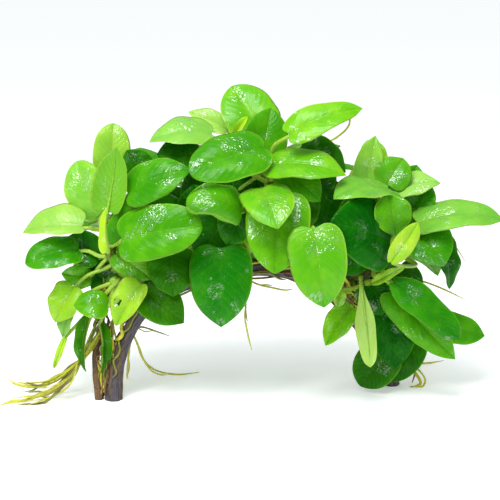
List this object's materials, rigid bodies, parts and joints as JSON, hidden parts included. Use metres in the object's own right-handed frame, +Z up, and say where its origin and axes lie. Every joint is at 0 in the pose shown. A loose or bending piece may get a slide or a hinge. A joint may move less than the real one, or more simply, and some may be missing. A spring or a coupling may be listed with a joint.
{
  "type": "anubias on driftwood arch",
  "caption": "Small broad-leaved aquarium plant grown over a bent driftwood branch that stands on two feet as an arch, with trailing roots at both ends.",
  "frame": {"origin": "on the floor under the centre of the whole plant's bounding box", "axes": "+X along the arch from its left foot to its right foot as seen from the side with the most leaves, -Y towards that side, +Z up"},
  "size_m": [0.204, 0.0834, 0.1252],
  "materials": {
    "leaf_young": "gloss",
    "leaf_fresh": "gloss",
    "leaf_mature": "gloss",
    "leaf_deep": "gloss",
    "driftwood": "matte",
    "rhizome": "satin",
    "root": "satin"
  },
  "bodies": {
    "root": {"driftwood_arch": "driftwood", "driftwood_side_shoot": "driftwood", "leaf_centre_curled": "leaf_mature", "leaf_centre_heart": "leaf_mature", "leaf_centre_large_dark": "leaf_deep", "leaf_centre_low_dark": "leaf_deep", "leaf_centre_mature": "leaf_mature", "leaf_centre_right_heart": "leaf_fresh", "leaf_front_largest": "leaf_mature", "leaf_left_dark": "leaf_deep", "leaf_left_dark_upright": "leaf_deep", "leaf_left_far_lime": "leaf_young", "leaf_left_front_lime": "leaf_young", "leaf_left_glossy": "leaf_mature", "leaf_left_lime_upright": "leaf_fresh", "leaf_left_low_dark": "leaf_deep", "leaf_left_low_mature": "leaf_mature", "leaf_left_pale": "leaf_fresh", "leaf_left_rolled": "leaf_young", "leaf_left_top_upright": "leaf_fresh", "leaf_right_centre_large": "leaf_deep", "leaf_right_edge_dark": "leaf_deep", "leaf_right_far_low": "leaf_deep", "leaf_right_floor": "leaf_deep", "leaf_right_floor_left": "leaf_deep", "leaf_right_light_folded": "leaf_young", "leaf_right_long": "leaf_fresh", "leaf_right_low_bright": "leaf_fresh", "leaf_right_low_mature": "leaf_mature", "leaf_right_pale_hanging": "leaf_fresh", "leaf_right_round_dark": "leaf_deep", "leaf_right_top_pale": "leaf_mature", "leaf_right_top_upright": "leaf_fresh", "leaf_right_young_lime": "leaf_young", "leaf_top_centre_large": "leaf_mature", "leaf_top_left_glossy": "leaf_mature", "leaf_top_left_long": "leaf_mature", "leaf_top_right_flat": "leaf_fresh", "leaf_top_right_small": "leaf_mature", "leaf_top_spear": "leaf_fresh", "leaf_top_tallest": "leaf_fresh", "rhizome_crown": "rhizome", "rhizome_left": "rhizome", "rhizome_right": "rhizome", "roots_crown": "root", "roots_left": "root", "roots_left_leg": "root", "roots_right_foot": "root", "shoot_back_1": "leaf_deep", "shoot_back_2": "leaf_mature", "shoot_back_3": "leaf_deep", "shoot_back_4": "leaf_mature", "shoot_back_5": "leaf_deep", "shoot_back_6": "leaf_mature", "shoot_centre": "leaf_deep", "shoot_left": "leaf_deep", "shoot_left_low": "leaf_mature", "shoot_right": "leaf_deep", "shoot_right_low": "leaf_deep", "shoot_top": "leaf_deep"}
  },
  "joints": []
}
